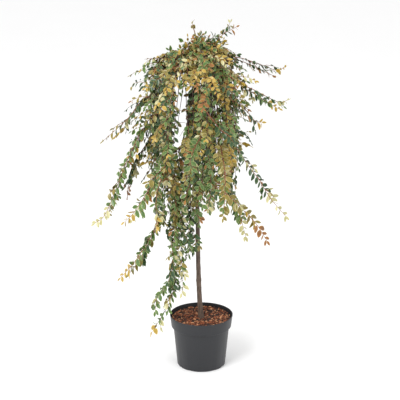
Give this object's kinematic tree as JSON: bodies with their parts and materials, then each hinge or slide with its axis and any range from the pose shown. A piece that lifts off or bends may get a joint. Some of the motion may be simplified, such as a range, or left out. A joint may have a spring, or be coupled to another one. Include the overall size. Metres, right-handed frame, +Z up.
{
  "type": "potted weeping cotoneaster",
  "caption": "Weeping small-leaved shrub grafted on a straight bare stem, its arching shoots hanging in curtains over a round black nursery pot of bark mulch.",
  "frame": {"origin": "centre of the pot's flat underside", "axes": "+Z up along the stem, -Y towards the front of the plant, +X to the right seen from the front"},
  "size_m": [0.5538, 0.5121, 1.0424],
  "materials": {
    "pot_plastic": "black moulded plastic with a soft sheen",
    "bark_chips": "coarse red-brown bark chips, matt",
    "stem_bark": "grey-brown bark, matt",
    "bough_bark": "dark brown bark, matt",
    "dome_foliage": "small olive and bronze leaves with a soft sheen",
    "curtain_foliage": "dark green leaves with pale margins",
    "shoot_foliage": "young green leaves with cream and orange margins on red shoots"
  },
  "bodies": {
    "root": {"bough_back": "bough_bark", "bough_back_left": "bough_bark", "bough_back_right": "bough_bark", "bough_front": "bough_bark", "bough_front_left": "bough_bark", "bough_front_right": "bough_bark", "bough_left": "bough_bark", "bough_left_front": "bough_bark", "bough_right": "bough_bark", "bough_right_front": "bough_bark", "crown_centre": "dome_foliage", "curtain_back": "curtain_foliage", "curtain_back_left": "curtain_foliage", "curtain_back_right": "curtain_foliage", "curtain_front": "curtain_foliage", "curtain_front_left": "curtain_foliage", "curtain_front_right": "curtain_foliage", "curtain_left": "curtain_foliage", "curtain_left_front": "curtain_foliage", "curtain_right": "curtain_foliage", "curtain_right_front": "curtain_foliage", "inner_back": "curtain_foliage", "inner_front": "curtain_foliage", "inner_right": "curtain_foliage", "inner_right_front": "curtain_foliage", "lower_tress": "curtain_foliage", "pot": "pot_plastic", "shoot_back_high": "shoot_foliage", "shoot_back_left": "shoot_foliage", "shoot_back_low": "shoot_foliage", "shoot_back_right": "shoot_foliage", "shoot_front_high": "shoot_foliage", "shoot_front_left": "shoot_foliage", "shoot_front_right": "shoot_foliage", "shoot_left_far": "shoot_foliage", "shoot_left_high": "shoot_foliage", "shoot_left_inner": "shoot_foliage", "shoot_left_low": "shoot_foliage", "shoot_left_red": "shoot_foliage", "shoot_right_high": "shoot_foliage", "shoot_right_inner": "shoot_foliage", "shoot_right_long": "shoot_foliage", "shoot_right_low": "shoot_foliage", "shoot_right_short": "shoot_foliage", "shoot_right_upper": "shoot_foliage", "shoulder_back": "dome_foliage", "shoulder_back_left": "dome_foliage", "shoulder_back_right": "dome_foliage", "shoulder_front": "dome_foliage", "shoulder_front_left": "dome_foliage", "shoulder_front_right": "dome_foliage", "shoulder_left": "dome_foliage", "shoulder_left_front": "dome_foliage", "shoulder_right": "dome_foliage", "shoulder_right_front": "dome_foliage", "soil": "bark_chips", "top_shoot": "shoot_foliage", "top_spike": "shoot_foliage", "trunk": "stem_bark"}
  },
  "joints": []
}
